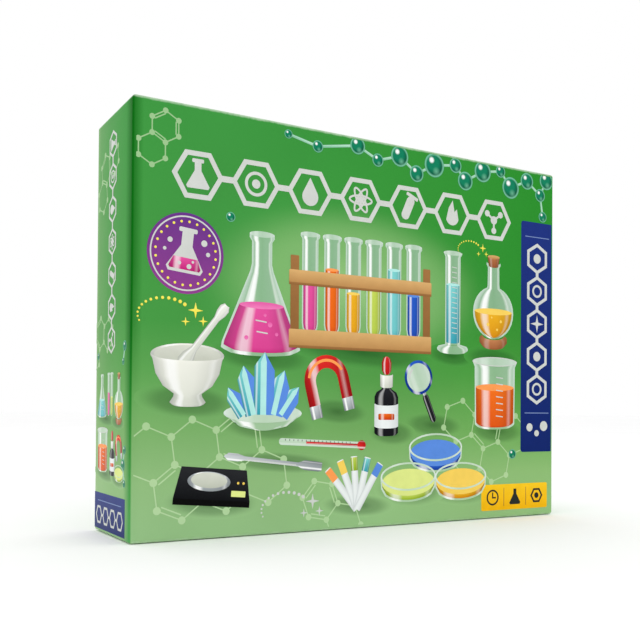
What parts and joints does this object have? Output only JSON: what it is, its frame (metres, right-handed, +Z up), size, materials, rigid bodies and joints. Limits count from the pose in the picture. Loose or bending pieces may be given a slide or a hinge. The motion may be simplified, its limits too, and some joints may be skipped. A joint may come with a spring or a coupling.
{
  "type": "chemistry set case",
  "caption": "Telescoping board box on its long side, with a lift-off lid, a moulded foam insert of beginner's chemistry ware and a stapled manual.",
  "frame": {"origin": "middle of the footprint that the closed case stands on, on the surface under it", "axes": "+X along the case's length to the right, +Y from the lid's face into the case, +Z up"},
  "size_m": [0.37, 0.08, 0.29],
  "materials": {
    "wrapped_board_lid": "satin",
    "wrapped_board_base": "satin",
    "foam": "matte",
    "cover_paper": "gloss",
    "page_paper": "matte",
    "staple_wire": "polished",
    "vial_plastic": "satin",
    "red_cap": "satin",
    "clear_tube": "gloss",
    "dark_rubber": "matte",
    "grey_plug": "satin",
    "glass": "gloss",
    "clear_cup": "satin",
    "blue_lid": "satin",
    "dark_bottle": "gloss",
    "white_plastic": "satin",
    "natural_plastic": "satin",
    "bristle": "matte",
    "cotton": "matte",
    "wire": "satin",
    "sheet_steel": "satin"
  },
  "bodies": {
    "base": {"base_tray": "wrapped_board_base"},
    "manual": {"manual_pages": "page_paper", "manual_cover": "cover_paper", "manual_staples": "staple_wire"},
    "insert": {"foam_insert": "foam", "vial_1": "vial_plastic", "vial_2": "vial_plastic", "vial_3": "vial_plastic", "vial_4": "vial_plastic", "vial_5": "vial_plastic", "vial_6": "vial_plastic", "vial_7": "vial_plastic", "test_tube_1": "clear_tube", "test_tube_2": "clear_tube", "test_tube_3": "clear_tube", "test_tube_4": "clear_tube", "beaker_1": "clear_cup", "beaker_2": "clear_cup", "pipette_1": "natural_plastic", "pipette_2": "natural_plastic", "bent_tube": "glass", "bottle": "dark_bottle", "dropper_plug": "white_plastic", "funnel": "natural_plastic", "brush_wire": "wire", "brush_bristles": "bristle", "brush_tuft": "cotton", "measuring_spoon": "white_plastic", "lid_opener": "sheet_steel"},
    "lid": {"lid": "wrapped_board_lid"},
    "vial_cap_1": {"vial_cap_1": "red_cap"},
    "vial_cap_2": {"vial_cap_2": "red_cap"},
    "vial_cap_3": {"vial_cap_3": "red_cap"},
    "vial_cap_4": {"vial_cap_4": "red_cap"},
    "vial_cap_5": {"vial_cap_5": "red_cap"},
    "vial_cap_6": {"vial_cap_6": "red_cap"},
    "vial_cap_7": {"vial_cap_7": "red_cap"},
    "beaker_lid_1": {"beaker_lid_1": "blue_lid"},
    "beaker_lid_2": {"beaker_lid_2": "blue_lid"},
    "rubber_stopper": {"rubber_stopper": "dark_rubber"},
    "tube_plug": {"tube_plug": "grey_plug"},
    "bottle_cap": {"bottle_cap": "white_plastic"}
  },
  "joints": [
    {"name": "manual_slide", "type": "slide", "parent": "base", "child": "manual", "axis": [0, -1, 0], "range_m": [0, 0.08]},
    {"name": "insert_slide", "type": "slide", "parent": "manual", "child": "insert", "axis": [0, -1, 0], "range_m": [0, 0.08]},
    {"name": "lid_slide", "type": "slide", "parent": "insert", "child": "lid", "axis": [0, -1, 0], "range_m": [0, 0.15]},
    {"name": "vial_cap_1_pull", "type": "slide", "parent": "insert", "child": "vial_cap_1", "axis": [0, 0, 1], "range_m": [0, 0.01]},
    {"name": "vial_cap_2_pull", "type": "slide", "parent": "insert", "child": "vial_cap_2", "axis": [0, 0, 1], "range_m": [0, 0.01]},
    {"name": "vial_cap_3_pull", "type": "slide", "parent": "insert", "child": "vial_cap_3", "axis": [0, 0, 1], "range_m": [0, 0.01]},
    {"name": "vial_cap_4_pull", "type": "slide", "parent": "insert", "child": "vial_cap_4", "axis": [0, 0, 1], "range_m": [0, 0.01]},
    {"name": "vial_cap_5_pull", "type": "slide", "parent": "insert", "child": "vial_cap_5", "axis": [0, 0, 1], "range_m": [0, 0.01]},
    {"name": "vial_cap_6_pull", "type": "slide", "parent": "insert", "child": "vial_cap_6", "axis": [0, 0, 1], "range_m": [0, 0.01]},
    {"name": "vial_cap_7_pull", "type": "slide", "parent": "insert", "child": "vial_cap_7", "axis": [0, 0, 1], "range_m": [0, 0.01]},
    {"name": "beaker_lid_1_pull", "type": "slide", "parent": "insert", "child": "beaker_lid_1", "axis": [0, 0, 1], "range_m": [0, 0.008]},
    {"name": "beaker_lid_2_pull", "type": "slide", "parent": "insert", "child": "beaker_lid_2", "axis": [0, 0, 1], "range_m": [0, 0.008]},
    {"name": "stopper_pull", "type": "slide", "parent": "insert", "child": "rubber_stopper", "axis": [0, 0, 1], "range_m": [0, 0.013]},
    {"name": "plug_pull", "type": "slide", "parent": "insert", "child": "tube_plug", "axis": [0, 0, 1], "range_m": [0, 0.01]},
    {"name": "bottle_cap_turn", "type": "hinge", "parent": "insert", "child": "bottle_cap", "pos_m": [0.15406, -0.023, 0.0716], "axis": [0, 0, 1], "range_deg": [0, 450]}
  ]
}
